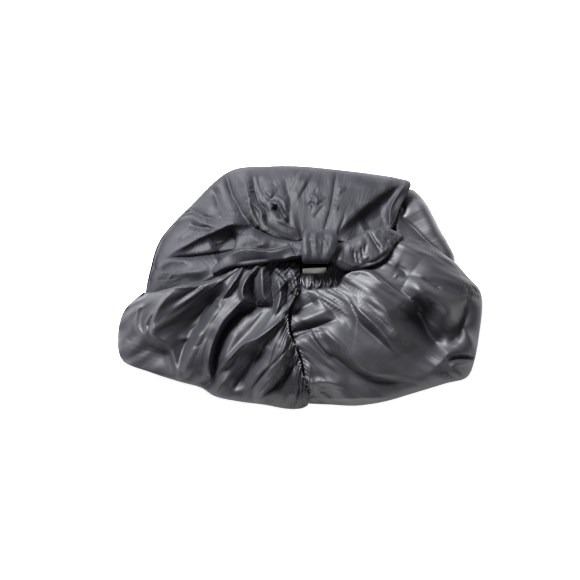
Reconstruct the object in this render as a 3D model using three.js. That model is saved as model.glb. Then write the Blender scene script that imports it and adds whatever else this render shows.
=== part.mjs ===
// Turban-style satin sleep cap, lying on a table with its head opening up.
//
// The cap is charted on a plane tilted CHART_TILT degrees to the table, the way it is looked at:
// `across` runs to the right, `up` runs up the chart, and `lift` is the height above the table.
// A panel is lofted through the rows of its table. Each row is one section, from the foot at the
// cap's outline to the rim at the head opening or at a seam. All sizes are millimetres.
import * as THREE from "three";
import { mergeVertices } from "three/addons/utils/BufferGeometryUtils.js";

// Driving sizes
const CHART_TILT = 65; // degrees from the table to the chart
const CHART_SHIFT = { across: 0.08, along: 5.47 }; // brings the footprint's middle to the origin
const WALL = 1.6; // two layers of satin
const BAND_WALL = 2.4; // satin over wide elastic
const LOOP_WALL = 1.8;
const HEM = 7; // cloth turned under the outline
const CLEARANCE = 0.5; // gap between pieces that lie on each other
const SEAM_GAP = 0.7; // each panel stops this far short of a seam
const GATHER_RISE = 1.4; // every other section of a back panel rides up by this at its gathered rim

const { degToRad, clamp, lerp, smoothstep } = THREE.MathUtils;
const SLANT = degToRad(CHART_TILT);

// Front panel: from the left side, over the back edge, to the fold at the right.
const FRONT_SECTIONS = [
  { footX: -155, footV: -8, rimX: -139, rimV: -11, edge: 8, mid: 9, rim: 9, seat: 0, roll: 5, drop: 1 },
  { footX: -150, footV: 17, rimX: -114, rimV: -6, edge: 15, mid: 24, rim: 24, seat: 0, roll: 9, drop: 2 },
  { footX: -139, footV: 49, rimX: -86, rimV: 1, edge: 21, mid: 35, rim: 33, seat: 0, roll: 12, drop: 3 },
  { footX: -107, footV: 84, rimX: -58, rimV: 18, edge: 29, mid: 42, rim: 40, seat: 0, roll: 13, drop: 3 },
  { footX: -71, footV: 116, rimX: -28, rimV: 34, edge: 36, mid: 49, rim: 45, seat: 0, roll: 13, drop: 3 },
  { footX: -32, footV: 121, rimX: -6, rimV: 44, edge: 38, mid: 51, rim: 48, seat: 0, roll: 13, drop: 2 },
  { footX: 2, footV: 121, rimX: 8, rimV: 47, edge: 38, mid: 50, rim: 47, seat: 0, roll: 13, drop: 1 },
  { footX: 34, footV: 118, rimX: 30, rimV: 47, edge: 38, mid: 49, rim: 46, seat: 0, roll: 13, drop: 1 },
  { footX: 68, footV: 114, rimX: 46, rimV: 44, edge: 38, mid: 46, rim: 46, seat: 0, roll: 12, drop: 2 },
  { footX: 99, footV: 109, rimX: 64, rimV: 42, edge: 38, mid: 42, rim: 42, seat: 0, roll: 10, drop: 3 },
  { footX: 111, footV: 103, rimX: 80, rimV: 46, edge: 40, mid: 42, rim: 42, seat: 29, roll: 5, drop: 3 },
  { footX: 101, footV: 84, rimX: 88, rimV: 51, edge: 41, mid: 43, rim: 43, seat: 30, roll: 4, drop: 3 },
  { footX: 95, footV: 62, rimX: 90, rimV: 55, edge: 42, mid: 43, rim: 43, seat: 31, roll: 2, drop: 3 },
];

// Left back panel: from the left corner, round the outline, to the foot of the gathered seam.
const LEFT_SECTIONS = [
  { footX: -157, footV: -6, rimX: -146, rimV: -6, edge: 20, mid: 26, rim: 28, seat: 14, roll: 4, drop: 2 },
  { footX: -176, footV: -24, rimX: -117, rimV: 2, edge: 18, mid: 36, rim: 43, seat: 0, roll: 10, drop: 7 },
  { footX: -182, footV: -50, rimX: -84, rimV: 10, edge: 18, mid: 40, rim: 50, seat: 0, roll: 10, drop: 6 },
  { footX: -177, footV: -73, rimX: -60, rimV: 19, edge: 17, mid: 42, rim: 54, seat: 0, roll: 10, drop: 5 },
  { footX: -149, footV: -85, rimX: -38, rimV: 21, edge: 17, mid: 43, rim: 55, seat: 0, roll: 10, drop: 4 },
  { footX: -121, footV: -94, rimX: -18, rimV: 20, edge: 17, mid: 44, rim: 55, seat: 0, roll: 10, drop: 4 },
  { footX: -99, footV: -100, rimX: -2, rimV: 12, edge: 17, mid: 44, rim: 55, seat: 0, roll: 10, drop: 4 },
  { footX: -84, footV: -109, rimX: -4, rimV: -6, edge: 17, mid: 44, rim: 53, seat: 0, roll: 10, drop: 5 },
  { footX: -60, footV: -114, rimX: -12, rimV: -28, edge: 17, mid: 41, rim: 49, seat: 0, roll: 10, drop: 6 },
  { footX: -36, footV: -117, rimX: -10, rimV: -48, edge: 16, mid: 37, rim: 44, seat: 0, roll: 9, drop: 6 },
  { footX: -14, footV: -121, rimX: -1, rimV: -71, edge: 16, mid: 31, rim: 36, seat: 0, roll: 8, drop: 5 },
  { footX: 0, footV: -121, rimX: 4, rimV: -92, edge: 15, mid: 24, rim: 28, seat: 0, roll: 8, drop: 4 },
  { footX: 6.5, footV: -118, rimX: 7.5, rimV: -106, edge: 14, mid: 18, rim: 20, seat: 0, roll: 6, drop: 3 },
];

// Right back panel: from the foot of the gathered seam, round the outline, up to the shoulder.
const RIGHT_SECTIONS = [
  { footX: 9.5, footV: -116, rimX: 9.7, rimV: -105, edge: 14, mid: 18, rim: 20, seat: 0, roll: 6, drop: 3 },
  { footX: 31, footV: -117, rimX: 6, rimV: -91, edge: 15, mid: 24, rim: 28, seat: 0, roll: 8, drop: 4 },
  { footX: 56, footV: -118, rimX: 2, rimV: -70, edge: 16, mid: 33, rim: 36, seat: 0, roll: 9, drop: 5 },
  { footX: 84, footV: -114, rimX: -7, rimV: -48, edge: 17, mid: 40, rim: 44, seat: 0, roll: 10, drop: 6 },
  { footX: 112, footV: -106, rimX: -9, rimV: -28, edge: 17, mid: 44, rim: 49, seat: 0, roll: 10, drop: 6 },
  { footX: 145, footV: -96, rimX: -1, rimV: -6, edge: 17, mid: 45, rim: 54, seat: 0, roll: 10, drop: 4 },
  { footX: 166, footV: -90, rimX: 18, rimV: -2, edge: 17, mid: 45, rim: 56, seat: 0, roll: 10, drop: 3 },
  { footX: 174, footV: -73, rimX: 37, rimV: 1, edge: 18, mid: 44, rim: 56, seat: 0, roll: 10, drop: 3 },
  { footX: 179, footV: -46, rimX: 48, rimV: 13, edge: 18, mid: 41, rim: 53, seat: 0, roll: 10, drop: 4 },
  { footX: 182, footV: -19, rimX: 66, rimV: 17, edge: 19, mid: 37, rim: 48, seat: 0, roll: 10, drop: 4 },
  { footX: 177, footV: -1, rimX: 84, rimV: 25, edge: 22, mid: 35, rim: 44, seat: 6, roll: 9, drop: 4 },
  { footX: 166, footV: 12, rimX: 93, rimV: 33, edge: 30, mid: 38, rim: 44, seat: 22, roll: 5, drop: 4 },
  { footX: 150, footV: 28, rimX: 100, rimV: 41, edge: 38, mid: 42, rim: 45, seat: 30, roll: 4, drop: 4 },
  { footX: 122, footV: 46, rimX: 104, rimV: 48, edge: 42, mid: 44, rim: 45, seat: 31, roll: 3, drop: 4 },
];

// Crown: the layer that lies on the table and laps over the panels' hems. At these bearings it stays
// on the table, turns up by twice `roll` and laps back: at the right its fold shows past the panels.
const CROWN_MIDDLE = { across: 0, along: -8 };
const CROWN_EDGE = { over: 5, roll: 1.5, lap: 4, turn: 0 };
const CROWN_FOLD_SECTIONS = [
  { bearing: 0, reach: 152, roll: 1.5, lap: 4, turn: 0 },
  { bearing: 6, reach: 151, roll: 6, lap: 10, turn: 180 },
  { bearing: 12, reach: 158, roll: 11, lap: 30, turn: 180 },
  { bearing: 18, reach: 156, roll: 13, lap: 36, turn: 180 },
  { bearing: 24, reach: 154, roll: 13, lap: 36, turn: 180 },
  { bearing: 30, reach: 155, roll: 13, lap: 36, turn: 180 },
  { bearing: 36, reach: 157, roll: 13, lap: 36, turn: 180 },
  { bearing: 42, reach: 152, roll: 9, lap: 24, turn: 180 },
  { bearing: 48, reach: 119, roll: 1.5, lap: 4, turn: 0 },
  { bearing: 180, reach: 124, roll: 1.5, lap: 4, turn: 0 },
];

// Front band, left and right of the knot: sections from inside the loop out to the tip.
const BAND_LEFT_SECTIONS = [
  { lowX: 18, lowV: 32, highX: 18, highV: 46, low: 55.6, high: 55.6, crest: 63 },
  { lowX: -3, lowV: 28, highX: -2, highV: 41, low: 57, high: 57, crest: 64 },
  { lowX: -20, lowV: 24, highX: -20, highV: 46, low: 56, high: 50, crest: 65 },
  { lowX: -40, lowV: 22, highX: -40, highV: 53, low: 55, high: 49, crest: 65 },
  { lowX: -58, lowV: 21, highX: -58, highV: 49, low: 53, high: 47, crest: 62 },
  { lowX: -72, lowV: 19, highX: -74, highV: 31, low: 50, high: 44, crest: 57 },
  { lowX: -84, lowV: 14, highX: -86, highV: 17, low: 46, high: 40, crest: 50 },
];
const BAND_RIGHT_SECTIONS = [
  { lowX: 21, lowV: 32, highX: 21, highV: 46, low: 55.6, high: 55.6, crest: 63 },
  { lowX: 41, lowV: 27, highX: 42, highV: 41, low: 57, high: 57, crest: 65 },
  { lowX: 54, lowV: 18, highX: 53, highV: 48, low: 56, high: 50, crest: 66 },
  { lowX: 70, lowV: 22, highX: 68, highV: 57, low: 55, high: 49, crest: 66 },
  { lowX: 84, lowV: 28, highX: 84, highV: 57, low: 53, high: 47, crest: 63 },
  { lowX: 94, lowV: 38, highX: 95, highV: 52, low: 51, high: 45, crest: 58 },
  { lowX: 102, lowV: 46, highX: 103, highV: 48, low: 48, high: 42, crest: 51 },
];

// Folds of each panel, along a curve from start to end, drawn towards its bend, each [across, up].
// A negative rise is a hollow.
const FRONT_FOLDS = [
  { fold: "knot pleat", start: [-57, 115], bend: [-42, 70], end: [-2, 44], rise: 6, width: 6 },
  { fold: "pleat hollow", start: [-40, 116], bend: [-22, 84], end: [-6, 54], rise: -4, width: 6 },
  { fold: "panel seam", start: [35, 117], bend: [31, 86], end: [27, 60], rise: -3, width: 5 },
  { fold: "right crest", start: [106, 104], bend: [78, 88], end: [50, 66], rise: 5, width: 12 },
  { fold: "right hollow", start: [92, 80], bend: [74, 62], end: [48, 44], rise: -6, width: 10 },
  { fold: "left crest", start: [-98, 90], bend: [-76, 72], end: [-58, 58], rise: 5, width: 9 },
  { fold: "left roll", start: [-138, 48], bend: [-100, 60], end: [-62, 56], rise: 7, width: 8 },
  { fold: "left hollow", start: [-112, 24], bend: [-80, 36], end: [-56, 47], rise: -8, width: 10 },
  { fold: "side roll", start: [-146, 16], bend: [-120, 15], end: [-92, 18], rise: 4, width: 8 },
];
const LEFT_FOLDS = [
  { fold: "brow", start: [-78, 4], bend: [-130, -8], end: [-146, -50], rise: 7, width: 10 },
  { fold: "brow hollow", start: [-66, -4], bend: [-104, -20], end: [-128, -52], rise: -8, width: 14 },
  { fold: "cheek line", start: [-142, -52], bend: [-122, -66], end: [-113, -90], rise: 5, width: 9 },
  { fold: "main roll", start: [-44, -6], bend: [-84, -36], end: [-96, -84], rise: 8, width: 11 },
  { fold: "main hollow", start: [-26, -14], bend: [-68, -42], end: [-80, -88], rise: -7, width: 10 },
  { fold: "upper sweep", start: [-10, -16], bend: [-44, -38], end: [-64, -72], rise: 6, width: 10 },
  { fold: "sweep hollow", start: [-14, -38], bend: [-38, -58], end: [-58, -94], rise: -5, width: 9 },
  { fold: "lower sweep", start: [-9, -58], bend: [-34, -82], end: [-58, -106], rise: 5, width: 9 },
  { fold: "heel hollow", start: [-4, -78], bend: [-22, -97], end: [-44, -110], rise: -4, width: 9 },
  { fold: "outer gather", start: [-48, 18], bend: [-52, 2], end: [-62, -18], rise: 4, width: 6 },
  { fold: "middle gather", start: [-28, 18], bend: [-34, 0], end: [-44, -16], rise: 4, width: 6 },
  { fold: "inner gather", start: [-10, 10], bend: [-15, -6], end: [-18, -22], rise: 4, width: 6 },
];
const RIGHT_FOLDS = [
  { fold: "brow", start: [38, -6], bend: [74, 10], end: [120, -26], rise: 8, width: 11 },
  { fold: "shoulder hollow", start: [70, 18], bend: [106, 2], end: [136, -28], rise: -6, width: 11 },
  { fold: "main crest", start: [46, -12], bend: [80, -40], end: [104, -80], rise: 8, width: 12 },
  { fold: "crest hollow", start: [28, -20], bend: [56, -48], end: [82, -84], rise: -7, width: 11 },
  { fold: "second crest", start: [14, -42], bend: [42, -68], end: [76, -94], rise: 6, width: 10 },
  { fold: "pocket", start: [122, -40], bend: [140, -56], end: [158, -72], rise: -10, width: 16 },
  { fold: "end roll", start: [174, -8], bend: [172, -36], end: [162, -62], rise: 6, width: 10 },
  { fold: "hem tuck", start: [10, -84], bend: [52, -94], end: [112, -98], rise: -5, width: 9 },
];

// Knot loop, nape casing and inner label
const LOOP = { across: 20, up: 39.5, lift: 64, width: 36, length: 34, depth: 24, round: 9, taper: 0.12 };
const CASING = { from: 4, to: 44, low: -9, high: 2, lift: 46.8, pleats: 6, pleatRise: 1.6 };
const LABEL = { across: 14.5, width: 24, thick: 1, topV: 27, topLift: 52, endV: 10, endLift: 37 };

// Mesh density
const FRONT_COLUMNS = 36;
const BACK_COLUMNS = 36;
const CROWN_COLUMNS = 60;
const BAND_COLUMNS = 14;
const TOP_ROWS = 13;
const ROLL_ROWS = 3;
const AXIS_STEPS = 14;

const SATIN = { color: 0x2b2c31, roughness: 0.38, metalness: 0 };
const LABEL_CLOTH = { color: 0xc9cac4, roughness: 0.7, metalness: 0 };

// A charted point in the cap's own frame.
function place({ across, up, lift }) {
  const along = (up - lift * Math.cos(SLANT)) / Math.sin(SLANT);
  return new THREE.Vector3(across + CHART_SHIFT.across, along + CHART_SHIFT.along, lift);
}

// All the numbers of a table at share t of its length, on a smooth curve through the rows.
function sectionAt(rows, t) {
  const at = t * (rows.length - 1);
  const first = Math.min(Math.floor(at), rows.length - 2);
  const f = at - first;
  const near = [-1, 0, 1, 2].map((step) => rows[clamp(first + step, 0, rows.length - 1)]);
  const mixed = {};
  for (const key of Object.keys(rows[0])) {
    const [before, start, end, after] = near.map((row) => row[key]);
    const leave = (end - before) / 2;
    const arrive = (after - start) / 2;
    const turn = 2 * (start - end) + leave + arrive;
    const bend = 3 * (end - start) - 2 * leave - arrive;
    mixed[key] = ((turn * f + bend) * f + leave) * f + start;
  }
  return mixed;
}

// How far one fold lifts the cloth at a charted point.
function foldLift(fold, across, up) {
  let gap = Infinity;
  let share = 0;
  for (let step = 0; step <= AXIS_STEPS; step++) {
    const t = step / AXIS_STEPS;
    const [onX, onV] = [0, 1].map((k) => {
      const bend = fold.bend[k];
      return lerp(lerp(fold.start[k], bend, t), lerp(bend, fold.end[k], t), t);
    });
    const away = Math.hypot(across - onX, up - onV);
    if (away < gap) {
      gap = away;
      share = t;
    }
  }
  const taper = smoothstep(share, 0, 0.2) * (1 - smoothstep(share, 0.8, 1)) * 0.7 + 0.3;
  return fold.rise * taper * Math.exp(-((gap / fold.width) ** 2));
}

const foldsLift = (folds, across, up) =>
  folds.reduce((sum, fold) => sum + foldLift(fold, across, up), 0);

// One section of a panel: under the outline, round its roll, over the top, down to the rim.
function panelSection(row, folds, gather) {
  const run = Math.hypot(row.rimX - row.footX, row.rimV - row.footV) - SEAM_GAP;
  const toRim = { across: (row.rimX - row.footX) / run, up: (row.rimV - row.footV) / run };
  const roll = Math.min(row.roll, run * 0.3);
  const hem = Math.min(HEM, run * 0.45);
  const low = Math.max(0, row.seat) + WALL / 2;
  const at = (inwards, lift, foldShare) => {
    const across = row.footX + toRim.across * inwards;
    const up = row.footV + toRim.up * inwards;
    return { across, up, lift: lift + foldShare * foldsLift(folds, across, up) };
  };
  const points = [at(roll + hem, low, 0), at(roll + hem / 2, low, 0)];
  for (let step = 0; step < ROLL_ROWS; step++) {
    const turn = Math.PI * (1 - step / ROLL_ROWS);
    const share = (1 + Math.cos(turn)) / 2;
    points.push(at(roll * (1 - Math.sin(turn)), lerp(low, row.edge, share), share * share));
  }
  const middle = 2 * row.mid - (row.edge + row.rim) / 2;
  for (let step = 0; step < TOP_ROWS; step++) {
    const q = step / (TOP_ROWS - 1);
    const lift = (1 - q) ** 2 * row.edge + 2 * q * (1 - q) * middle + q * q * row.rim;
    const rimShape = gather * smoothstep(q, 0.7, 0.95) - row.drop * smoothstep(q, 0.82, 1);
    points.push(at(lerp(roll, run, q), lift + rimShape, 1));
  }
  return points;
}

function panelChart(rows, folds, columns, gatherRise) {
  const chart = [];
  for (let column = 0; column <= columns; column++) {
    const gather = column % 2 ? gatherRise : -gatherRise;
    chart.push(panelSection(sectionAt(rows, column / columns), folds, gather));
  }
  return chart;
}

// The lift of a panel's cloth at a charted point, for what lies on it, or 0 beside the panel.
function liftUnder(chart, across, up) {
  const spot = new THREE.Vector3(across, up, 0);
  const flat = ({ across: x, up: y }) => new THREE.Vector3(x, y, 0);
  let lift = 0;
  for (let i = 0; i < chart.length - 1; i++) {
    for (let j = 0; j < chart[i].length - 1; j++) {
      const corners = [chart[i][j], chart[i + 1][j], chart[i + 1][j + 1], chart[i][j + 1]];
      for (const three of [corners.slice(0, 3), [corners[0], corners[2], corners[3]]]) {
        const share = THREE.Triangle.getBarycoord(spot, ...three.map(flat), new THREE.Vector3());
        if (!share || share.x < 0 || share.y < 0 || share.z < 0) continue;
        const here = share.x * three[0].lift + share.y * three[1].lift + share.z * three[2].lift;
        lift = Math.max(lift, here);
      }
    }
  }
  return lift;
}

// A closed wall of even thickness about a grid of points. When it `loops`, the last column joins the
// first and the first row is one middle point.
function wallGeometry(grid, thickness, loops = false) {
  const columns = grid.length;
  const rows = grid[0].length;
  const pick = (i, j) => {
    const column = loops ? (i + columns) % columns : clamp(i, 0, columns - 1);
    return grid[column][clamp(j, 0, rows - 1)];
  };
  const faces = [[], []];
  for (let i = 0; i < columns; i++) {
    for (let j = 0; j < rows; j++) {
      const alongColumns = pick(i + 1, j).clone().sub(pick(i - 1, j));
      const alongRows = pick(i, j + 1).clone().sub(pick(i, j - 1));
      const out = alongColumns.cross(alongRows).normalize().multiplyScalar(thickness / 2);
      if (loops && j === 0) out.set(0, 0, thickness / 2);
      faces[0].push(grid[i][j].clone().add(out));
      faces[1].push(grid[i][j].clone().sub(out));
    }
  }
  const count = columns * rows;
  const index = (side, i, j) => side * count + (loops && j === 0 ? 0 : (i % columns) * rows) + j;
  const triangles = [];
  const quad = (a, b, c, d) => {
    if (a !== b) triangles.push(a, b, c);
    if (a !== d) triangles.push(a, c, d);
  };
  const strips = loops ? columns : columns - 1;
  for (let i = 0; i < strips; i++) {
    for (let j = 0; j < rows - 1; j++) {
      quad(index(0, i, j), index(0, i + 1, j), index(0, i + 1, j + 1), index(0, i, j + 1));
      quad(index(1, i, j), index(1, i, j + 1), index(1, i + 1, j + 1), index(1, i + 1, j));
    }
    if (!loops) quad(index(1, i, 0), index(1, i + 1, 0), index(0, i + 1, 0), index(0, i, 0));
    quad(index(0, i, rows - 1), index(0, i + 1, rows - 1), index(1, i + 1, rows - 1), index(1, i, rows - 1));
  }
  for (let j = 0; j < rows - 1 && !loops; j++) {
    const last = columns - 1;
    quad(index(0, 0, j), index(0, 0, j + 1), index(1, 0, j + 1), index(1, 0, j));
    quad(index(1, last, j), index(1, last, j + 1), index(0, last, j + 1), index(0, last, j));
  }
  return facingOut(faces.flat(), triangles);
}

// A geometry of these points and triangles, turned round if it would be inside out.
function facingOut(points, triangles) {
  let volume = 0;
  for (let k = 0; k < triangles.length; k += 3) {
    const [a, b, c] = [0, 1, 2].map((corner) => points[triangles[k + corner]]);
    volume += a.dot(b.clone().cross(c));
  }
  const ordered = volume < 0 ? triangles.toReversed() : triangles;
  const geometry = new THREE.BufferGeometry().setFromPoints(points).setIndex(ordered);
  geometry.computeVertexNormals();
  return geometry;
}

const placed = (chart) => chart.map((column) => column.map(place));

// How far out the hems of the panels end, by bearing from the crown's middle.
function hemReach(grids, bearing) {
  const ends = [];
  for (const section of grids.flat()) {
    const away = section[0].clone().sub(new THREE.Vector3(CROWN_MIDDLE.across, CROWN_MIDDLE.along, 0));
    away.sub(new THREE.Vector3(CHART_SHIFT.across, CHART_SHIFT.along, 0));
    if (away.z > WALL) continue;
    const turn = THREE.MathUtils.radToDeg(Math.atan2(away.y, away.x)) - bearing;
    ends.push({ turn: ((turn + 540) % 360) - 180, reach: Math.hypot(away.x, away.y) });
  }
  const before = ends.filter((end) => end.turn <= 0).sort((a, b) => b.turn - a.turn)[0];
  const after = ends.filter((end) => end.turn > 0).sort((a, b) => a.turn - b.turn)[0];
  return lerp(before.reach, after.reach, -before.turn / (after.turn - before.turn));
}

// The crown's sections run from its middle along the table to an edge that lies on the hems, or that
// turns up and back over itself where the fold shows.
function crownGrid(panelGrids) {
  const grid = [];
  for (let column = 0; column < CROWN_COLUMNS; column++) {
    const bearing = (360 * column) / CROWN_COLUMNS;
    const shown = CROWN_FOLD_SECTIONS.find((row) => row.bearing === bearing);
    const row = shown ?? { ...CROWN_EDGE, reach: hemReach(panelGrids, bearing) + CROWN_EDGE.over };
    const low = WALL / 2;
    const base = shown ? low : low + WALL + CLEARANCE;
    const angle = degToRad(bearing);
    const at = (radius, lift) =>
      new THREE.Vector3(
        CROWN_MIDDLE.across + CHART_SHIFT.across + radius * Math.cos(angle),
        CROWN_MIDDLE.along + CHART_SHIFT.along + radius * Math.sin(angle),
        lift,
      );
    const turn = degToRad(row.turn);
    const arc = Math.PI * row.roll;
    const flat = row.reach - (turn ? row.roll : arc + row.lap);
    const section = [at(0, low), at(flat * 0.5, low), at(flat - 18, low), at(flat - 8, base)];
    for (const share of [0, 1 / 3, 2 / 3, 1]) {
      const half = (turn * share) / 2;
      const chord = arc * share * (half ? Math.sin(half) / half : 1);
      section.push(at(flat + chord * Math.cos(half), base + chord * Math.sin(half)));
    }
    const end = turn ? { radius: flat, lift: base + 2 * row.roll } : { radius: flat + arc, lift: base };
    for (const share of [0.6, 1]) {
      section.push(at(end.radius + row.lap * share * Math.cos(turn), end.lift));
    }
    grid.push(section);
  }
  return grid;
}

// An arched band over its sections. Its upper edge rests on the panel behind it, and all of it stays
// clear of that panel.
function bandChart(rows, chartBelow) {
  const chart = [];
  for (let column = 0; column <= BAND_COLUMNS; column++) {
    const row = sectionAt(rows, column / BAND_COLUMNS);
    const rest = (x, v) => liftUnder(chartBelow, x, v) + (WALL + BAND_WALL) / 2 + CLEARANCE;
    const across = [0, 0.12, 0.3, 0.5, 0.7, 0.88, 1].map((q) => {
      const point = { across: lerp(row.lowX, row.highX, q), up: lerp(row.lowV, row.highV, q) };
      const arch = lerp(lerp(row.low, row.high, q), row.crest, Math.sin(Math.PI * q) ** 0.7);
      return { ...point, lift: Math.max(arch, rest(point.across, point.up)) };
    });
    chart.push(across);
  }
  return chart;
}

// The loop round the middle of the front band: a rounded ring swept across, narrower at its top.
function loopGeometry() {
  const ring = (length, depth, round) => {
    const [l, d] = [length / 2, depth / 2];
    const outline = new THREE.Shape();
    outline.moveTo(-l + round, -d);
    outline.lineTo(l - round, -d);
    outline.absarc(l - round, -d + round, round, -Math.PI / 2, 0);
    outline.lineTo(l, d - round);
    outline.absarc(l - round, d - round, round, 0, Math.PI / 2);
    outline.lineTo(-l + round, d);
    outline.absarc(-l + round, d - round, round, Math.PI / 2, Math.PI);
    outline.lineTo(-l, -d + round);
    outline.absarc(-l + round, -d + round, round, Math.PI, Math.PI * 1.5);
    return outline;
  };
  const outer = ring(LOOP.length, LOOP.depth, LOOP.round);
  const inset = 2 * LOOP_WALL;
  outer.holes.push(ring(LOOP.length - inset, LOOP.depth - inset, LOOP.round - LOOP_WALL));
  const options = { depth: LOOP.width, steps: 2, curveSegments: 4, bevelEnabled: false };
  const swept = new THREE.ExtrudeGeometry(outer, options);
  swept.deleteAttribute("normal");
  swept.deleteAttribute("uv");
  const merged = mergeVertices(swept, 1e-4);
  const position = merged.getAttribute("position");
  const points = [];
  for (let k = 0; k < position.count; k++) {
    const upRing = position.getX(k);
    const narrow = 1 - LOOP.taper * Math.max(0, upRing / (LOOP.length / 2));
    const across = LOOP.across + (position.getZ(k) - LOOP.width / 2) * narrow;
    points.push(place({ across, up: LOOP.up + upRing, lift: LOOP.lift + position.getY(k) }));
  }
  return facingOut(points, Array.from(merged.index.array));
}

// The gathered casing of the nape elastic, just inside the lower edge of the opening.
function casingChart() {
  const chart = [];
  const columns = CASING.pleats * 4;
  for (let column = 0; column <= columns; column++) {
    const share = column / columns;
    const pleat = CASING.pleatRise * Math.sin(2 * Math.PI * CASING.pleats * share);
    chart.push(
      [0, 0.3, 0.65, 1].map((q) => ({
        across: lerp(CASING.from, CASING.to, share),
        up: lerp(CASING.low, CASING.high, q),
        lift: CASING.lift + pleat * (1 - 0.7 * q),
      })),
    );
  }
  return chart;
}

// A bare label sewn inside the band, hanging from under the loop into the opening.
function labelChart() {
  return [-0.5, 0, 0.5].map((side) =>
    [0, 0.5, 1].map((q) => ({
      across: LABEL.across + side * LABEL.width,
      up: lerp(LABEL.topV, LABEL.endV, q),
      lift: lerp(LABEL.topLift, LABEL.endLift, q),
    })),
  );
}

const cap = new THREE.Group();
function addPiece(name, geometry, finish = SATIN) {
  const piece = new THREE.Mesh(geometry, new THREE.MeshStandardMaterial(finish));
  piece.name = name;
  cap.add(piece);
}

const front = panelChart(FRONT_SECTIONS, FRONT_FOLDS, FRONT_COLUMNS, 0);
const left = panelChart(LEFT_SECTIONS, LEFT_FOLDS, BACK_COLUMNS, GATHER_RISE);
const right = panelChart(RIGHT_SECTIONS, RIGHT_FOLDS, BACK_COLUMNS, GATHER_RISE);
addPiece("crown", wallGeometry(crownGrid([front, left, right].map(placed)), WALL, true));
addPiece("front_panel", wallGeometry(placed(front), WALL));
addPiece("back_panel_left", wallGeometry(placed(left), WALL));
addPiece("back_panel_right", wallGeometry(placed(right), WALL));
addPiece("front_band_left", wallGeometry(placed(bandChart(BAND_LEFT_SECTIONS, front)), BAND_WALL));
addPiece("front_band_right", wallGeometry(placed(bandChart(BAND_RIGHT_SECTIONS, front)), BAND_WALL));
addPiece("knot_loop", loopGeometry());
addPiece("nape_casing", wallGeometry(placed(casingChart()), WALL));
addPiece("inner_label", wallGeometry(placed(labelChart()), LABEL.thick), LABEL_CLOTH);

export default cap;
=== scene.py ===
"""Charcoal satin turban sleep cap, lying on a table with its gathered head opening up."""

import math

import bpy
import numpy as np
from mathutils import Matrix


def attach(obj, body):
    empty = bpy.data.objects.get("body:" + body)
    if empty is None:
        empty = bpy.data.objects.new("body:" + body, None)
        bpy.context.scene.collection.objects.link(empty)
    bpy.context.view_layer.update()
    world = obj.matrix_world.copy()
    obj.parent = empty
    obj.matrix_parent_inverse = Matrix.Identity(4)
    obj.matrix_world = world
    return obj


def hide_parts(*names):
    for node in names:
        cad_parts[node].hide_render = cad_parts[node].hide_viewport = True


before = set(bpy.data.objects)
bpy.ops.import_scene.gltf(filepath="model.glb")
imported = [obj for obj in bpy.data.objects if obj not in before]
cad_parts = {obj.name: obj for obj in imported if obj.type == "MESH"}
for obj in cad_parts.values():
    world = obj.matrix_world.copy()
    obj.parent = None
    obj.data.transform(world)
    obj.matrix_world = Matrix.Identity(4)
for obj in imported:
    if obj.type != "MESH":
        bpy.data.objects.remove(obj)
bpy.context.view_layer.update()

# Camera: the cap is seen from its back seam's side, well above the table, through a long lens.
# The picture is 580 by 580, one pixel to a millimetre, with the cap a little right of the middle.
LOOK_DEG = 65.0
LENS_MM = 800.0
SENSOR_MM = 36.0
PICTURE_MM = 580.0
PICTURE_MIDDLE = (-10.0, -3.0)  # on the chart of the cap that the camera sees, in millimetres
AIM_LIFT = 30.0
CHART_SHIFT = (0.08, 5.47)  # from the chart's zero to the cap's origin, across and along the table
MM = 0.001  # in metres
MM_IN_METRE = 1000
LOOK_SIN = math.sin(math.radians(LOOK_DEG))
LOOK_COS = math.cos(math.radians(LOOK_DEG))


def charted(across, up, lift):
    """Points in metres from the chart: across and up as the camera sees them, lift above the table."""
    along = (up - lift * LOOK_COS) / LOOK_SIN + CHART_SHIFT[1]
    return np.stack(np.broadcast_arrays(across + CHART_SHIFT[0], along, lift), axis=-1) * MM


camera_data = bpy.data.cameras.new("camera")
camera_data.lens = LENS_MM
camera_data.sensor_width = SENSOR_MM
camera = bpy.data.objects.new("camera", camera_data)
bpy.context.collection.objects.link(camera)
aim = charted(PICTURE_MIDDLE[0], PICTURE_MIDDLE[1], AIM_LIFT)
camera_reach = PICTURE_MM * MM * LENS_MM / SENSOR_MM
camera.location = aim + camera_reach * np.array([0.0, -LOOK_COS, LOOK_SIN])
camera.rotation_euler = (math.radians(90.0 - LOOK_DEG), 0.0, 0.0)
bpy.context.scene.camera = camera

# Table: a plain white sheet that glows a little, so that it stays white out to its edges. A soft key
# light stands behind the front panel, to the left, and a weak fill on the side of the back seam.
STUDIO_GLOW = 0.18
LIGHT_COLOUR = (0.95, 0.96, 1.0)
LIGHT_TARGET = (0.0, 0.0, 0.03)
TABLE_HALF = 4.0
WHITE = (1.0, 1.0, 1.0, 1.0)
SHEET_COLOUR = (0.93, 0.93, 0.93, 1.0)
SHEET_GLOW = 0.75
scene = bpy.context.scene
scene.view_settings.view_transform = "Standard"
world = bpy.data.worlds.new("studio")
world.use_nodes = True
studio = world.node_tree.nodes["Background"]
studio.inputs["Color"].default_value = WHITE
studio.inputs["Strength"].default_value = STUDIO_GLOW
scene.world = world


def soft_light(name, power, size, place):
    """A square soft box aimed at the cap."""
    data = bpy.data.lights.new(name, "AREA")
    data.energy = power
    data.size = size
    data.color = LIGHT_COLOUR
    lamp = bpy.data.objects.new(name, data)
    bpy.context.collection.objects.link(lamp)
    lamp.location = place
    toward = np.array(LIGHT_TARGET) - np.array(place)
    pitch = math.atan2(math.hypot(toward[0], toward[1]), -toward[2])
    lamp.rotation_euler = (pitch, 0.0, math.atan2(toward[1], toward[0]) - math.pi / 2)


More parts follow.
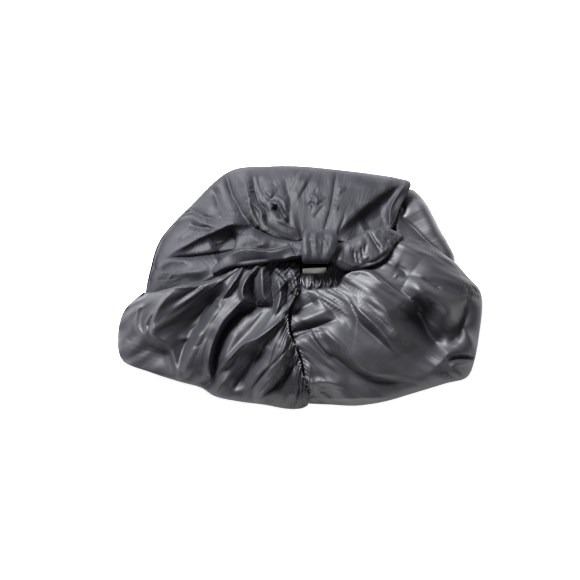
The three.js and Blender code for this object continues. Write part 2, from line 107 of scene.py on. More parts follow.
soft_light("key_light", power=67.0, size=0.45, place=(-0.52, 0.64, 0.92))
soft_light("fill_light", power=3.5, size=0.8, place=(0.3, -0.75, 0.85))

table_sides = [(-1, -1), (1, -1), (1, 1), (-1, 1)]
table_mesh = bpy.data.meshes.new("table")
table_mesh.from_pydata([(x * TABLE_HALF, y * TABLE_HALF, 0) for x, y in table_sides], [], [(0, 1, 2, 3)])
table = bpy.data.objects.new("table", table_mesh)
bpy.context.collection.objects.link(table)
white_sheet = bpy.data.materials.new("white_sheet")
white_sheet.use_nodes = True
sheet_surface = white_sheet.node_tree.nodes["Principled BSDF"]
sheet_surface.inputs["Base Color"].default_value = SHEET_COLOUR
sheet_surface.inputs["Roughness"].default_value = 0.9
sheet_surface.inputs["Emission Color"].default_value = WHITE
sheet_surface.inputs["Emission Strength"].default_value = SHEET_GLOW
table_mesh.materials.append(white_sheet)


# Crown: the layer of satin that lies on the table and closes the cap underneath. Its fold shows as a
# smooth bulge past the front panel at the right; everywhere else it ends inside the cap's outline.
class Shade:
    """A shader socket with arithmetic, so that material maths reads as expressions."""

    def __init__(self, tree, socket):
        self.tree = tree
        self.socket = socket

    def node(self, kind, settings=None, **sockets):
        """A new node: its settings first, then its sockets by name, or by number as i0, i1 and so on."""
        made = self.tree.nodes.new(kind)
        for key, value in (settings or {}).items():
            setattr(made, key, value)
        for key, value in sockets.items():
            numbered = key[0] == "i" and key[1:].isdigit()
            target = made.inputs[int(key[1:]) if numbered else key.replace("_", " ")]
            if isinstance(value, Shade):
                self.tree.links.new(value.socket, target)
            else:
                target.default_value = value
        return made

    def math(self, operation, other):
        made = self.node("ShaderNodeMath", {"operation": operation}, i0=self, i1=other)
        return Shade(self.tree, made.outputs[0])

    def __add__(self, other):
        return self.math("ADD", other)

    __radd__ = __add__

    def __mul__(self, other):
        return self.math("MULTIPLY", other)

    __rmul__ = __mul__


CLOUD_TONE = 0.12  # how far the cloudiness lightens and darkens the colour
CLOUD_ROUGHNESS = 0.06
SLUB_ROUGHNESS = 0.04


def satin(name, colour, roughness, shine=0.5):
    """Polyester satin: long warp floats that shine, drawn creases, fine slubs and slight cloudiness.

    How much it shines is set for each piece: pieces that should show lighter get more shine and those that
    should show darker get less, which paints light and shade onto the same satin.
    """
    made = bpy.data.materials.new(name)
    made.use_nodes = True
    tree = made.node_tree
    surface = tree.nodes["Principled BSDF"]
    surface.inputs["IOR"].default_value = 1.5
    surface.inputs["Specular IOR Level"].default_value = shine
    surface.inputs["Sheen Weight"].default_value = 0.04
    surface.inputs["Sheen Roughness"].default_value = 0.4
    start = Shade(tree, surface.outputs[0])
    places = start.node("ShaderNodeTexCoord")
    on_cloth = Shade(tree, places.outputs["UV"])
    in_space = Shade(tree, places.outputs["Object"])
    floats = start.node(
        "ShaderNodeTexWave",
        {"bands_direction": "DIAGONAL"},
        Vector=on_cloth,
        Scale=620.0,
        Distortion=1.2,
        Detail=2.0,
    )
    slubs = start.node("ShaderNodeTexNoise", Vector=in_space, Scale=900.0, Detail=3.0, Roughness=0.6)
    clouds = start.node("ShaderNodeTexNoise", Vector=in_space, Scale=18.0, Detail=4.0, Roughness=0.55)
    drawn = start.node("ShaderNodeMapping", Vector=on_cloth, Scale=(1.0, 0.12, 1.0))
    creases = start.node(
        "ShaderNodeTexNoise",
        Vector=Shade(tree, drawn.outputs[0]),
        Scale=300.0,
        Detail=4.0,
        Roughness=0.55,
        Distortion=0.8,
    )
    weave = Shade(tree, floats.outputs["Fac"])
    slub = Shade(tree, slubs.outputs["Fac"])
    cloud = Shade(tree, clouds.outputs["Fac"])
    crease = Shade(tree, creases.outputs["Fac"])
    crumple = start.node("ShaderNodeBump", Strength=0.36, Distance=0.001, Height=crease)
    bump = start.node(
        "ShaderNodeBump",
        Strength=0.2,
        Distance=0.0002,
        Height=weave * 0.5 + slub * 0.5,
        Normal=Shade(tree, crumple.outputs[0]),
    )
    tree.links.new(bump.outputs["Normal"], surface.inputs["Normal"])
    least_rough = roughness - (CLOUD_ROUGHNESS + SLUB_ROUGHNESS) / 2
    rough = least_rough + cloud * CLOUD_ROUGHNESS + slub * SLUB_ROUGHNESS
    tree.links.new(rough.socket, surface.inputs["Roughness"])
    dark = tuple((1 - CLOUD_TONE) * c for c in colour) + (1.0,)
    light = tuple((1 + CLOUD_TONE) * c for c in colour) + (1.0,)
    cloudy = cloud * 0.7 + weave * 0.3
    tone = start.node("ShaderNodeMix", {"data_type": "RGBA"}, i0=cloudy, i6=dark, i7=light)
    tree.links.new(tone.outputs[2], surface.inputs["Base Color"])
    return made


CLOTH_THICK_MM = 0.8
SATIN_COLOUR = (0.008, 0.008, 0.0115)
# Painted light: the crown's shine is set high so that its bulge shows lighter than the other pieces.
crown_satin = satin("crown_satin", SATIN_COLOUR, roughness=0.56, shine=0.95)


def smooth_rows(rows, count):
    """The table's columns at `count` places along it, on a smooth curve through its rows."""
    table_rows = np.array(rows, dtype=float)
    last = len(rows) - 1
    at = np.linspace(0.0, last, count)
    first = np.minimum(at.astype(int), last - 1)
    f = (at - first)[:, None]
    around = [table_rows[np.clip(first + step, 0, last)] for step in (-1, 0, 1, 2)]
    before, start, end, after = around
    leave = (end - before) / 2
    arrive = (after - start) / 2
    bent = (2 * (start - end) + leave + arrive) * f + 3 * (end - start) - 2 * leave - arrive
    return (bent * f * f + leave * f + start).T


def smoothstep(low, high, value):
    """0 at low and 1 at high, with a smooth rise between."""
    share = np.clip((value - low) / (high - low), 0.0, 1.0)
    return share * share * (3 - 2 * share)


def cloth_piece(name, points, material, thick_mm=CLOTH_THICK_MM, loops=False):
    """A sheet of cloth from a grid of points in metres, columns by rows, with lengths as its UV map."""
    columns, rows = points.shape[:2]
    mesh = bpy.data.meshes.new(name)
    index = np.arange(columns * rows).reshape(columns, rows)
    if loops:
        index = np.vstack([index, index[:1]])
    around = [index[:-1, :-1], index[1:, :-1], index[1:, 1:], index[:-1, 1:]]
    corners = np.stack(around, axis=-1).reshape(-1, 4)
    mesh.from_pydata(points.reshape(-1, 3).tolist(), [], corners.tolist())
    along_rows = np.zeros((columns, rows))
    along_rows[:, 1:] = np.cumsum(np.linalg.norm(np.diff(points, axis=1), axis=2), axis=1)
    along_columns = np.zeros((columns, rows))
    middle = points[:, rows // 2]
    along_columns[1:] = np.cumsum(np.linalg.norm(np.diff(middle, axis=0), axis=1))[:, None]
    lengths = np.stack([along_columns, along_rows], axis=-1).reshape(-1, 2)
    layer = mesh.uv_layers.new(name="cloth")
    layer.data.foreach_set("uv", lengths[corners.reshape(-1)].astype(np.float32).reshape(-1))
    mesh.polygons.foreach_set("use_smooth", np.ones(len(corners), dtype=bool))
    mesh.materials.append(material)
    mesh.update()
    piece = bpy.data.objects.new(name, mesh)
    bpy.context.collection.objects.link(piece)
    wall = piece.modifiers.new("wall", "SOLIDIFY")
    wall.thickness = thick_mm * MM
    wall.offset = 0.0
    return piece


PATH_STEPS = 6  # places on a fold's curve for each of its points
FOLD_REACH = 5  # a fold has died out this many runs away from its path
FOLD_RISES = (-0.05, 0.25)  # shares of its path over which a fold rises, and then sinks
FOLD_SINKS = (0.72, 1.05)
WRINKLE_CREST = 0.5


def folds_lift(folds, across, up, trail=0, seed=0):
    """How far the folds raise the cloth above its plain form, in millimetres.

    A fold has a path, a rise, the run of its flank to the left and to the right of the path, and the
    roundness of its crest. Shallow wrinkles trail beside it, each along a part of the path.
    """
    total = np.zeros_like(across)
    random = np.random.default_rng(seed)
    for points, rise, left_run, right_run, crest in folds:
        path = smooth_rows(points, PATH_STEPS * len(points)).T
        steps = np.diff(path, axis=0)
        lengths = np.hypot(steps[:, 0], steps[:, 1])
        run = np.concatenate([[0.0], np.cumsum(lengths)])
        reach = FOLD_REACH * max(left_run, right_run)
        low = path.min(axis=0) - reach
        high = path.max(axis=0) + reach
        near = (across > low[0]) & (across < high[0]) & (up > low[1]) & (up < high[1])
        x = across[near]
        v = up[near]
        gap = np.full(x.shape, np.inf)
        share = np.zeros_like(x)
        side = np.ones_like(x)
        for k, (start, step) in enumerate(zip(path[:-1], steps)):
            t = np.clip(((x - start[0]) * step[0] + (v - start[1]) * step[1]) / lengths[k] ** 2, 0.0, 1.0)
            off_x = x - start[0] - t * step[0]
            off_v = v - start[1] - t * step[1]
            away = np.hypot(off_x, off_v)
            nearer = away < gap
            gap = np.where(nearer, away, gap)
            share = np.where(nearer, (run[k] + t * lengths[k]) / run[-1], share)
            side = np.where(nearer, step[0] * off_v - step[1] * off_x, side)
        flank = np.where(side > 0, left_run, right_run)
        ends = smoothstep(*FOLD_RISES, share) * (1 - smoothstep(*FOLD_SINKS, share))
        raised = rise * ends * np.exp(-(np.hypot(gap, crest) - crest) / flank)
        signed = np.where(side > 0, gap, -gap)
        for _ in range(trail):
            aside = random.uniform(3.0, 15.0) * random.choice([-1, 1])
            bend = random.uniform(-4.0, 4.0)
            sway = random.uniform(0.5, 1.5) * np.sin(random.uniform(4, 12) * share + random.uniform(0, 6))
            height = random.uniform(0.25, 1.0) * random.choice([-0.8, 1.0])
            width = random.uniform(1.0, 2.4)
            middle = random.uniform(0.15, 0.85)
            half = random.uniform(0.15, 0.4)
            window = np.clip(1 - ((share - middle) / half) ** 2, 0.0, 1.0) ** 2
            off = signed - aside - bend * (share - middle) - sway
            slope = (np.hypot(off, WRINKLE_CREST) - WRINKLE_CREST) / width
            raised = raised + height * window * np.exp(-slope)
        total[near] += raised
    return total


# bearing in degrees, reach, roll of the fold, lap back over it, all from the middle of the crown
CROWN_FOLD = [
    (0, 150, 3, 8),
    (6, 151, 6, 14),
    (12, 158, 11, 34),
    (18, 156, 13, 42),
    (24, 154, 13, 44),
    (30, 155, 13, 44),
    (36, 157, 13, 42),
    (42, 159, 9, 30),
    (46, 156, 5, 20),
    (50, 128, 3, 8),
]
CROWN_MIDDLE = (0.0, -8.0)
# bearing in degrees, reach, where the crown only has a narrow hem
CROWN_REACH = [
    (60, 122),
    (90, 112),
    (120, 124),
    (150, 128),
    (180, 141),
    (197, 168),
    (215, 136),
    (250, 110),
    (270, 117),
    (300, 122),
    (325, 148),
    (345, 160),
]
CROWN_HEM = (1.5, 6)  # roll and lap
CROWN_LIFT = 1.0
CROWN_COLUMNS = 360
CROWN_TURN_ROWS = 17
CROWN_ROWS = 30  # across the layer on the table, and again across the lap
crown_hem_rows = [row + CROWN_HEM for row in CROWN_REACH]
crown_rows = CROWN_FOLD + crown_hem_rows + [(360,) + CROWN_FOLD[0][1:]]
bearing, reach, roll, lap = smooth_rows(crown_rows, CROWN_COLUMNS)[:, :-1]
flat = (reach - roll)[:, None]
roll = roll[:, None]
lap = lap[:, None]
turns = np.linspace(0.0, math.pi, CROWN_TURN_ROWS + 1)[1:]
inner_shares = np.linspace(0.02, 1.0, CROWN_ROWS)
back_shares = np.linspace(0.04, 1.0, CROWN_ROWS)
radius = np.concatenate(
    [flat * inner_shares, flat + roll * np.sin(turns), flat - lap * back_shares],
    axis=1,
)
height = np.concatenate(
    [
        np.full((len(flat), CROWN_ROWS), CROWN_LIFT),
        CROWN_LIFT + roll * (1 - np.cos(turns)),
        CROWN_LIFT + roll * (2 + 0.1 * np.sin(math.pi * back_shares) - 0.15 * back_shares**2),
    ],
    axis=1,
)
angle = np.radians(bearing)[:, None]
crown_x = CROWN_MIDDLE[0] + radius * np.cos(angle)
crown_v = (CROWN_MIDDLE[1] + radius * np.sin(angle)) * LOOK_SIN + height * LOOK_COS
on_top = np.concatenate([np.zeros(CROWN_ROWS), smoothstep(0.4, 0.8, turns / math.pi), np.ones(CROWN_ROWS)])
# path, rise, run of its left and of its right flank, roundness of its crest
CROWN_FOLDS = [
    ([(114, 112), (108, 100), (103, 84), (98, 66), (98, 50), (102, 36), (106, 22)], 8, 14, 6, 2),
    ([(98, 96), (103, 82), (104.5, 76), (103, 69), (114, 59), (130, 43), (146, 32)], -4, 2, 2.5, 0.5),
    ([(120, 88), (129, 68), (138, 50)], 3, 9, 9, 5),
]
crown_points = charted(crown_x, crown_v, height + on_top * folds_lift(CROWN_FOLDS, crown_x, crown_v))
crown = cloth_piece("crown_cloth", crown_points, crown_satin, loops=True)
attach(crown, "root")
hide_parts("crown")


# Front panel: pleated satin behind the knot. It hangs over its own fold at the back and at the left,
# is drawn in under the loop in the middle, and doubles back in a crease at the right.
HEM_MM = 7.0
HEM_LIFT = 1.0  # the hem lies this far above what the panel lies on
HEM_ROWS = 4
UNDER_ROWS = 12
SIDE_ROWS = 20
LIP_ROWS = 7
LIP_ROUND = 2.2
LIP_TURN_DEG = 160.0
ROLL_LIMIT = 0.3  # the widest roll, as a share of the panel's run from foot to rim
HEM_LIMIT = 0.45  # the widest hem or shoulder, as a share of that run
RIM_DROP_FROM = 0.82  # share of the run from which the cloth dips to its rim
EDGE_FOLD = 0.3  # share of a fold's rise that is left at the outline
GATHER_DRIFT = 0.35
GATHER_SHARPNESS = 1.2
GATHER_SINK = 0.3
WALL_DRAPE = 2.2
WALL_DRAPE_CELLS = (34, 2)


def uneven(random, cells, columns, rows, most=1.0):
    """A smooth random field over a grid, from a few cells along it and across it."""
    return smooth_rows(smooth_rows(random.uniform(-most, most, cells), columns), rows)


def panel_points(
    sections, folds, columns, top_rows, gathers, wrinkles, seed, trail, brow_share=0.45, shoulder_share=2.2
):
    """A panel lofted through its sections: hem, roll at the outline, top with its folds, turned rim.

    Each row of gathers has a pitch along the rim, a rise and a reach in from the rim. Each set of
    wrinkles has its numbers of cells along the panel and across it, and a rise.
    """
    section_columns = smooth_rows(sections, columns)[:, :, None]
    foot_x, foot_v, rim_x, rim_v, edge, mid, rim, seat, roll, drop, gather = section_columns
    run = np.hypot(rim_x - foot_x, rim_v - foot_v)
    roll = np.minimum(roll, run * ROLL_LIMIT)
    hem = np.minimum(HEM_MM, run * HEM_LIMIT)
    shoulder = np.minimum(roll * shoulder_share, run * HEM_LIMIT)
    low = np.maximum(seat, 0.0) + HEM_LIFT
    brow = low + brow_share * (edge - low)
    hem_share = np.linspace(1.0, 0.2, HEM_ROWS)[None, :]
    under = np.linspace(0.0, math.pi / 2, UNDER_ROWS + 1)[None, :-1]
    side = np.linspace(0.0, math.pi / 2, SIDE_ROWS)[None, :]
    top = np.linspace(0.0, 1.0, top_rows)[None, 1:]
    lip = np.linspace(0.0, math.radians(LIP_TURN_DEG), LIP_ROWS + 1)[None, 1:]
    inwards = np.concatenate(
        [
            roll + hem * hem_share,
            roll * (1 - np.sin(under)),
            shoulder * (1 - np.cos(side)),
            shoulder + (run - LIP_ROUND - shoulder) * top,
            run - LIP_ROUND + LIP_ROUND * np.sin(lip),
        ],
        axis=1,
    )
    middle = 2 * mid - (edge + rim) / 2
    t = (inwards - roll) / (run - roll)
    form = (1 - t) ** 2 * edge + 2 * t * (1 - t) * middle + t**2 * rim
    form = form - drop * smoothstep(RIM_DROP_FROM, 1.0, t)
    first_side = HEM_ROWS + UNDER_ROWS
    first_top = first_side + SIDE_ROWS
    first_lip = first_top + top.size
    lift = form.copy()
    lift[:, :HEM_ROWS] = low
    lift[:, HEM_ROWS:first_side] = low + (brow - low) * (1 - np.cos(under))
    lift[:, first_side:first_top] = brow + (form[:, first_side:first_top] - brow) * np.sin(side)
    lift[:, first_lip:] = rim - drop - LIP_ROUND * (1 - np.cos(lip))
    fold_share = np.ones_like(form)
    fold_share[:, :HEM_ROWS] = 0.0
    fold_share[:, HEM_ROWS:first_side] = EDGE_FOLD * (1 - np.cos(under))
    fold_share[:, first_side:first_top] = EDGE_FOLD + (1 - EDGE_FOLD) * np.sin(side) ** 2
    across = foot_x + (rim_x - foot_x) / run * inwards
    up = foot_v + (rim_v - foot_v) / run * inwards
    lift = lift + fold_share * folds_lift(folds, across, up, trail, seed)
    rim_steps = np.hypot(np.diff(rim_x[:, 0]), np.diff(rim_v[:, 0]))
    rim_run = np.concatenate([[0.0], np.cumsum(rim_steps)])
    random = np.random.default_rng(seed)
    from_rim = np.maximum(run - inwards, 0.0)
    for pitch, rise, reach_in in gathers:
        count = int(rim_run[-1] / pitch) + 2
        beats = np.concatenate([[0.0], np.cumsum(random.uniform(0.55, 1.45, count)) * pitch])
        swings = random.uniform(0.4, 1.2, count + 1)
        drift = random.uniform(-0.6, 0.6, count + 1)
        phase = np.interp(rim_run, beats, np.arange(count + 1.0))[:, None]
        swing = np.interp(rim_run, beats, swings)[:, None]
        turn_off = np.interp(rim_run, beats, drift)[:, None] * from_rim / reach_in
        beat = np.abs(np.sin(math.pi * (phase + GATHER_DRIFT * turn_off)))
        crest = (1 - beat) ** GATHER_SHARPNESS - GATHER_SINK
        lift = lift + rise * gather * swing * crest * np.exp(-from_rim / reach_in) * fold_share
    for cells_along, cells_in, rise in wrinkles:
        field = uneven(random, (cells_along, cells_in), *across.shape)
        lift = lift + rise * field * fold_share
    wall_share = np.zeros(across.shape[1])
    wall_share[:first_top] = np.sin(np.linspace(0.0, math.pi, first_top))
    drape = uneven(random, WALL_DRAPE_CELLS, *across.shape)
    lift = lift + WALL_DRAPE * drape * wall_share
    return charted(across, up, lift)


SETTLE_PASSES = 150
SETTLE_PULL = 0.17  # share of a thread's error that each of its ends takes up in a pass
SETTLE_SWING = 0.85  # share of its last move that a point keeps
CLOTH_STIFFNESS = 0.08
CLOTH_HOLD = 0.002  # share of its shift that a point loses in a pass
HELD_FADE = 8.0  # rows over which the held hem gives way to free cloth
NO_LENGTH = 1e-9
COARSE_CELLS = (80, 14)  # unevenness that the buckling starts from
COARSE_MM = 0.6
FINE_CELLS = (140, 40)
FINE_MM = 0.3


def settled(points, spare, spare_in, seed, held_first=16, held_last=2):
    """The panel after its cloth, cut longer than the room it has, has buckled into wrinkles.

    Threads along the panel are longer than their place by the shares in spare, whose rows run along the
    panel and give the hem's and the rim's; threads across it are longer by spare_in. Each pass pulls the
    threads and both diagonals towards their cut lengths and resists bending, with hem and rim held.
    """
    plain = points * MM_IN_METRE
    columns, rows = plain.shape[:2]
    ahead_of = (slice(1, None), slice(None))
    behind = (slice(None, -1), slice(None))
    above = (slice(None), slice(1, None))
    below = (slice(None), slice(None, -1))
    spare_foot, spare_rim = smooth_rows(spare, columns - 1)[:, :, None, None]
    in_share = np.linspace(0.0, 1.0, rows)[None, :, None]
    along = (plain[ahead_of] - plain[behind]) * (1 + spare_foot + (spare_rim - spare_foot) * in_share)
    inward = (plain[above] - plain[below]) * (1 + spare_in)
    rising = along[:, :-1] + inward[1:]
    falling = along[:, :-1] - inward[:-1]
    threads = [
        (ahead_of, behind, along),
        (above, below, inward),
        ((slice(1, None), slice(1, None)), (slice(None, -1), slice(None, -1)), rising),
        ((slice(1, None), slice(None, -1)), (slice(None, -1), slice(1, None)), falling),
    ]
    threads = [(one, other, np.linalg.norm(cut, axis=2)) for one, other, cut in threads]
    random = np.random.default_rng(seed)
    normal = np.cross(np.gradient(plain, axis=0), np.gradient(plain, axis=1))
    normal /= np.linalg.norm(normal, axis=2, keepdims=True) + NO_LENGTH
    coarse = uneven(random, COARSE_CELLS, columns, rows, COARSE_MM)
    fine = uneven(random, FINE_CELLS, columns, rows, FINE_MM)
    row = np.arange(rows)
    past_hem = (row + 1 - held_first) / HELD_FADE
    before_rim = rows - held_last - row
    free = np.clip(np.minimum(past_hem, before_rim), 0.0, 1.0)[None, :, None]
    now = plain + normal * (coarse + fine)[:, :, None] * free
    before = now
    for _ in range(SETTLE_PASSES):
        moved = now + SETTLE_SWING * (now - before)
        before = now
        pull = np.zeros_like(moved)
        for one, other, cut_length in threads:
            span = moved[one] - moved[other]
            length = np.sqrt((span * span).sum(axis=2)) + NO_LENGTH
            tug = span * (SETTLE_PULL * (cut_length / length - 1))[:, :, None]
            pull[one] += tug
            pull[other] -= tug
        shift = moved + pull - plain
        bend = np.zeros_like(shift)
        bend[1:-1] += shift[2:] + shift[:-2] - 2 * shift[1:-1]
        bend[:, 1:-1] += shift[:, 2:] + shift[:, :-2] - 2 * shift[:, 1:-1]
        now = plain + (shift + CLOTH_STIFFNESS * bend) * (1 - CLOTH_HOLD) * free
    return now * MM


# foot x, v, rim x, v, heights of edge, middle and rim, height it lies on, roll, drop at the rim, gathering
FRONT_SECTIONS = [
    (-155, -8, -139, -11, 8, 9, 9, 0, 5, 1, 0.0),
    (-150, 17, -114, -6, 15, 26, 30, 0, 9, 2, 0.0),
    (-139, 49, -86, 1, 21, 37, 39, 0, 12, 3, 0.0),
    (-107, 84, -58, 18, 29, 43, 44, 0, 13, 3, 0.0),
    (-71, 116, -28, 34, 38, 48, 45, 0, 13, 3, 0.2),
    (-32, 121, -6, 44, 43, 49, 46, 0, 13, 2, 0.5),
    (2, 121, 8, 47, 45, 48, 45, 0, 13, 1, 0.6),
    (34, 118, 30, 47, 45, 48, 47, 0, 13, 0, 0.4),
    (68, 114, 46, 44, 44, 46, 48, 0, 12, 0, 0.0),
    (99, 109, 64, 42, 40, 43, 47, 0, 10, 0, 0.0),
    (111, 103, 80, 46, 36, 42, 46, 27, 5, 1, 0.0),
    (101, 84, 88, 51, 37, 41, 44, 27.5, 4, 2, 0.0),
    (95, 62, 90, 55, 38, 41, 43, 28, 2, 3, 0.0),
]
# path, rise, run of its left and of its right flank, roundness of its crest
FRONT_FOLDS = [
    ([(-76, 122), (-70, 100), (-63, 83), (-50, 64), (-34, 51), (-10, 42)], -8, 2, 7, 0.8),
    ([(-64, 118), (-55, 103), (-52, 87), (-46, 69), (-32, 54), (4, 39)], 8, 2.5, 2.5, 0.8),
    ([(-55, 118), (-50, 90), (-40, 76), (-37, 65), (-28, 56), (2, 43)], 6, 1.6, 2.5, 0.4),
    ([(-48, 112), (-42, 87), (-34, 76), (-32, 62)], -4, 3, 1.5, 0.5),
    ([(-42, 112), (-37, 96), (-26, 84)], -2.4, 4, 3, 1.5),
    ([(-18, 112), (-11, 91), (-10, 78), (-12, 58)], -1.8, 5, 3, 1.5),
    ([(-30, 85), (-22, 82), (-17, 74), (-12, 64)], 5, 1.5, 2.5, 0.4),
    ([(-28, 80), (-22, 75), (-17, 68)], -5.5, 2.5, 2, 1),
    ([(-34, 95), (-27, 90)], 2, 3, 3, 1.5),
    ([(8, 91), (14, 90), (19, 83)], 1.5, 3, 3, 1),
    ([(9, 84), (15, 82)], -1.3, 3, 3, 1.5),
    ([(24, 82), (13, 68)], -1.0, 2, 2, 0.8),
    ([(-6, 107), (6, 100)], 2, 8, 8, 4),
    ([(38, 128), (34, 97), (31, 79), (27, 65), (22, 50)], -1.7, 1.0, 1.4, 0.3),
    ([(37, 99), (45, 97)], 0.9, 2, 2, 0.8),
    ([(31, 81), (39, 78)], 0.9, 2, 2, 0.8),
    ([(108, 108), (84, 95), (62, 79), (40, 58), (34, 46)], 4.5, 4, 12, 2),
    ([(100, 96), (80, 82), (62, 66), (46, 46)], -4, 8, 6, 4),
    ([(62, 60), (78, 68), (90, 71)], -5.5, 8, 8, 5),
    ([(112, 110), (96, 89), (90.5, 74), (91, 50)], 3.2, 2, 2, 0.5),
    ([(-88, 102), (-82, 84), (-77, 74), (-68, 62)], -4.5, 6, 5, 2),
    ([(-130, 69), (-110, 74), (-92, 69), (-76, 66)], -5, 4, 3, 1.2),
    ([(-130, 64), (-110, 69), (-96, 64), (-82, 61)], 5, 3, 4, 1),
    ([(-112, 60), (-97, 59), (-82, 56)], -4, 4, 3, 1.5),
    ([(-124, 46), (-112, 55), (-100, 58)], 2.4, 3, 3, 1),
    ([(-134, 30), (-115, 41), (-101, 49), (-81, 58), (-66, 63), (-46, 61)], 9, 10, 5, 1.2),
    ([(-88, 36), (-74, 43), (-60, 53)], -9, 9, 9, 6),
    ([(-136, 28), (-103, 31), (-81, 34), (-60, 38)], -4.5, 1.5, 3, 0.5),
    ([(-144, 16), (-128, 26), (-106, 24)], 4, 5, 5, 1.5),
    ([(-152, 11), (-120, 13), (-90, 16)], 4, 6, 6, 2),
]
# spare length at the hem and at the rim, from the panel's first section to its last
FRONT_SPARE = [(0.08, 0.12), (0.14, 0.2), (0.07, 0.1), (0.02, 0.03), (0.02, 0.03)]
front_points = panel_points(
    FRONT_SECTIONS,
    FRONT_FOLDS,
    columns=330,
    top_rows=104,
    gathers=[(13, 0.8, 12), (6, 0.8, 6)],
    wrinkles=[(22, 4, 1.2), (44, 3, 0.5)],
    seed=3,
    trail=2,
    brow_share=0.68,
    shoulder_share=1.3,
)
front_points = settled(front_points, FRONT_SPARE, spare_in=0.03, seed=7)
# Painted shade: the front panel's shine is set low so that it shows darker than the back panels.
front_satin = satin("front_satin", SATIN_COLOUR, roughness=0.6, shine=0.31)
front_panel = cloth_piece("front_panel_cloth", front_points, front_satin)
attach(front_panel, "root")
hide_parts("front_panel")

# Back panels: two puffed lobes of satin, gathered into the elastic of the opening and into the
# ruched seam where they meet. Their tables have the front panel's columns.
LEFT_SECTIONS = [
    (-157, -6, -146, -6, 16, 21, 23, 10, 4, 5, 0.1),
    (-176, -24, -117, 2, 18, 36, 42, 0, 10, 12, 0.2),
    (-182, -50, -84, 10, 13, 40, 50, 0, 9, 9, 0.4),
    (-177, -73, -60, 20, 12, 41, 53, 0, 9, 5, 0.8),
    (-149, -85, -38, 23, 16, 43, 54, 0, 10, 4, 1.0),
    (-121, -94, -18, 25, 21, 46, 54, 0, 10, 4, 1.0),
    (-99, -100, -2, 20, 22, 46, 54, 0, 10, 4, 1.0),
    (-84, -109, -4, -6, 25, 46, 54, 0, 10, 4, 1.0),
    (-60, -114, -12, -28, 28, 46, 53, 0, 10, 3, 0.8),
    (-36, -117, -10, -48, 28, 44, 52, 0, 9, 2, 1.0),
    (-14, -121, -1, -71, 25, 38, 45, 0, 8, 2, 1.0),
    (0, -121, 4, -92, 20, 29, 36, 0, 8, 2, 1.0),
    (7.4, -118, 8.2, -105, 14, 19, 24, 0, 6, 2, 0.8),
]
LONG_FOLD = [
    (-74, 19),
    (-105, 7),
    (-121, 1),
    (-139, -19),
    (-146, -37),
    (-144, -48),
    (-131, -57),
    (-126, -71),
    (-117, -100),
]
LEFT_FOLDS = [
    (LONG_FOLD, 11, 16, 5, 0.6),
    ([(-157, -12), (-163, -34), (-158, -46), (-149, -49)], 3.2, 2.5, 2.5, 0.5),
    ([(-145, -23), (-153, -37), (-152, -49)], 3.2, 2, 2, 0.4),
    ([(-72, 0), (-88, -15), (-101, -34), (-111, -50), (-119, -68), (-124, -90)], -21, 5, 22, 2.5),
    ([(-85, -11), (-80, -16), (-84, -21)], 3.4, 2, 2, 0.8),
    ([(-70, -12), (-82, -22), (-96, -42), (-104, -56), (-111, -72), (-113, -92)], 7, 6, 9, 2.5),
    ([(-84, -42), (-94, -64), (-99, -90)], -2.6, 4, 4, 2),
    ([(-88, -22), (-104, -36), (-110, -42)], 1.2, 2, 3, 0.8),
    ([(-96, -46), (-110, -50), (-122, -52)], 2.4, 3, 4, 1.2),
    ([(-54, -10), (-66, -22), (-78, -37), (-87, -57), (-91, -76), (-87, -98)], 10, 2.5, 9, 0.6),
    ([(-28, -19), (-55, -24), (-69, -33), (-78, -46), (-84, -62), (-87, -96)], -14, 4.5, 2.5, 0.9),
    ([(-60, -42), (-70, -58), (-78, -80)], 3, 5, 5, 2),
    ([(-6, -23), (-24, -37), (-41, -50), (-57, -58), (-71, -72), (-88, -93)], 9, 4, 6, 0.5),
    ([(-38, -58), (-50, -82), (-68, -103)], -9, 5, 7, 2.5),
    ([(-8, -42), (-17, -62), (-22, -80), (-34, -97), (-46, -109)], 8, 4, 14, 0.8),
    ([(-12, -61), (-32, -82), (-50, -103)], -3.4, 1.2, 2, 0.4),
    ([(-2, -73), (-21, -96), (-42, -111)], -4.4, 1.8, 2.4, 0.5),
    ([(-6, -56), (-20, -72), (-38, -88)], 3.4, 3, 3, 1),
    ([(-54, 23), (-68, 2), (-80, -16)], 6.4, 1.4, 3, 0.4),
    ([(-40, 24), (-55, 4), (-57, -10), (-50, -24)], 8, 1.8, 2.5, 0.4),
    ([(-48, 20), (-47, -8), (-38, -25)], -8, 2.2, 2.2, 0.8),
    ([(-37, 24), (-37, -7), (-30, -23)], 6.4, 3, 3, 0.7),
    ([(-29, 24), (-28, -9), (-28, -27)], -6.4, 2, 2, 0.7),
    ([(-26, 21), (-15, 7), (-5, -7)], 5.8, 1.6, 1.6, 0.4),
    ([(-21, 8), (-21, -12), (-26, -28)], 6.4, 2.5, 2.5, 0.6),
    ([(-11, 21), (-4, 4), (-6, -10), (-16, -29)], 7, 1.6, 2.2, 0.4),
    ([(-13, 6), (-14, -20)], -5.8, 1.6, 1.6, 0.6),
]
LEFT_SPARE = [(0.04, 0.06), (0.05, 0.1), (0.08, 0.22), (0.12, 0.32), (0.14, 0.34), (0.14, 0.34)]
left_points = panel_points(
    LEFT_SECTIONS,
    LEFT_FOLDS,
    columns=340,
    top_rows=101,
    gathers=[(11, 2.2, 20), (6, 2.8, 9), (4.2, 3.0, 5)],
    wrinkles=[(26, 4, 1.3), (50, 8, 0.4)],
    seed=11,
    trail=2,
)
left_points = settled(left_points, LEFT_SPARE, spare_in=0.05, seed=5)
left_satin = satin("left_satin", SATIN_COLOUR, roughness=0.58)
back_left = cloth_piece("back_left_cloth", left_points, left_satin)
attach(back_left, "root")
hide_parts("back_panel_left")

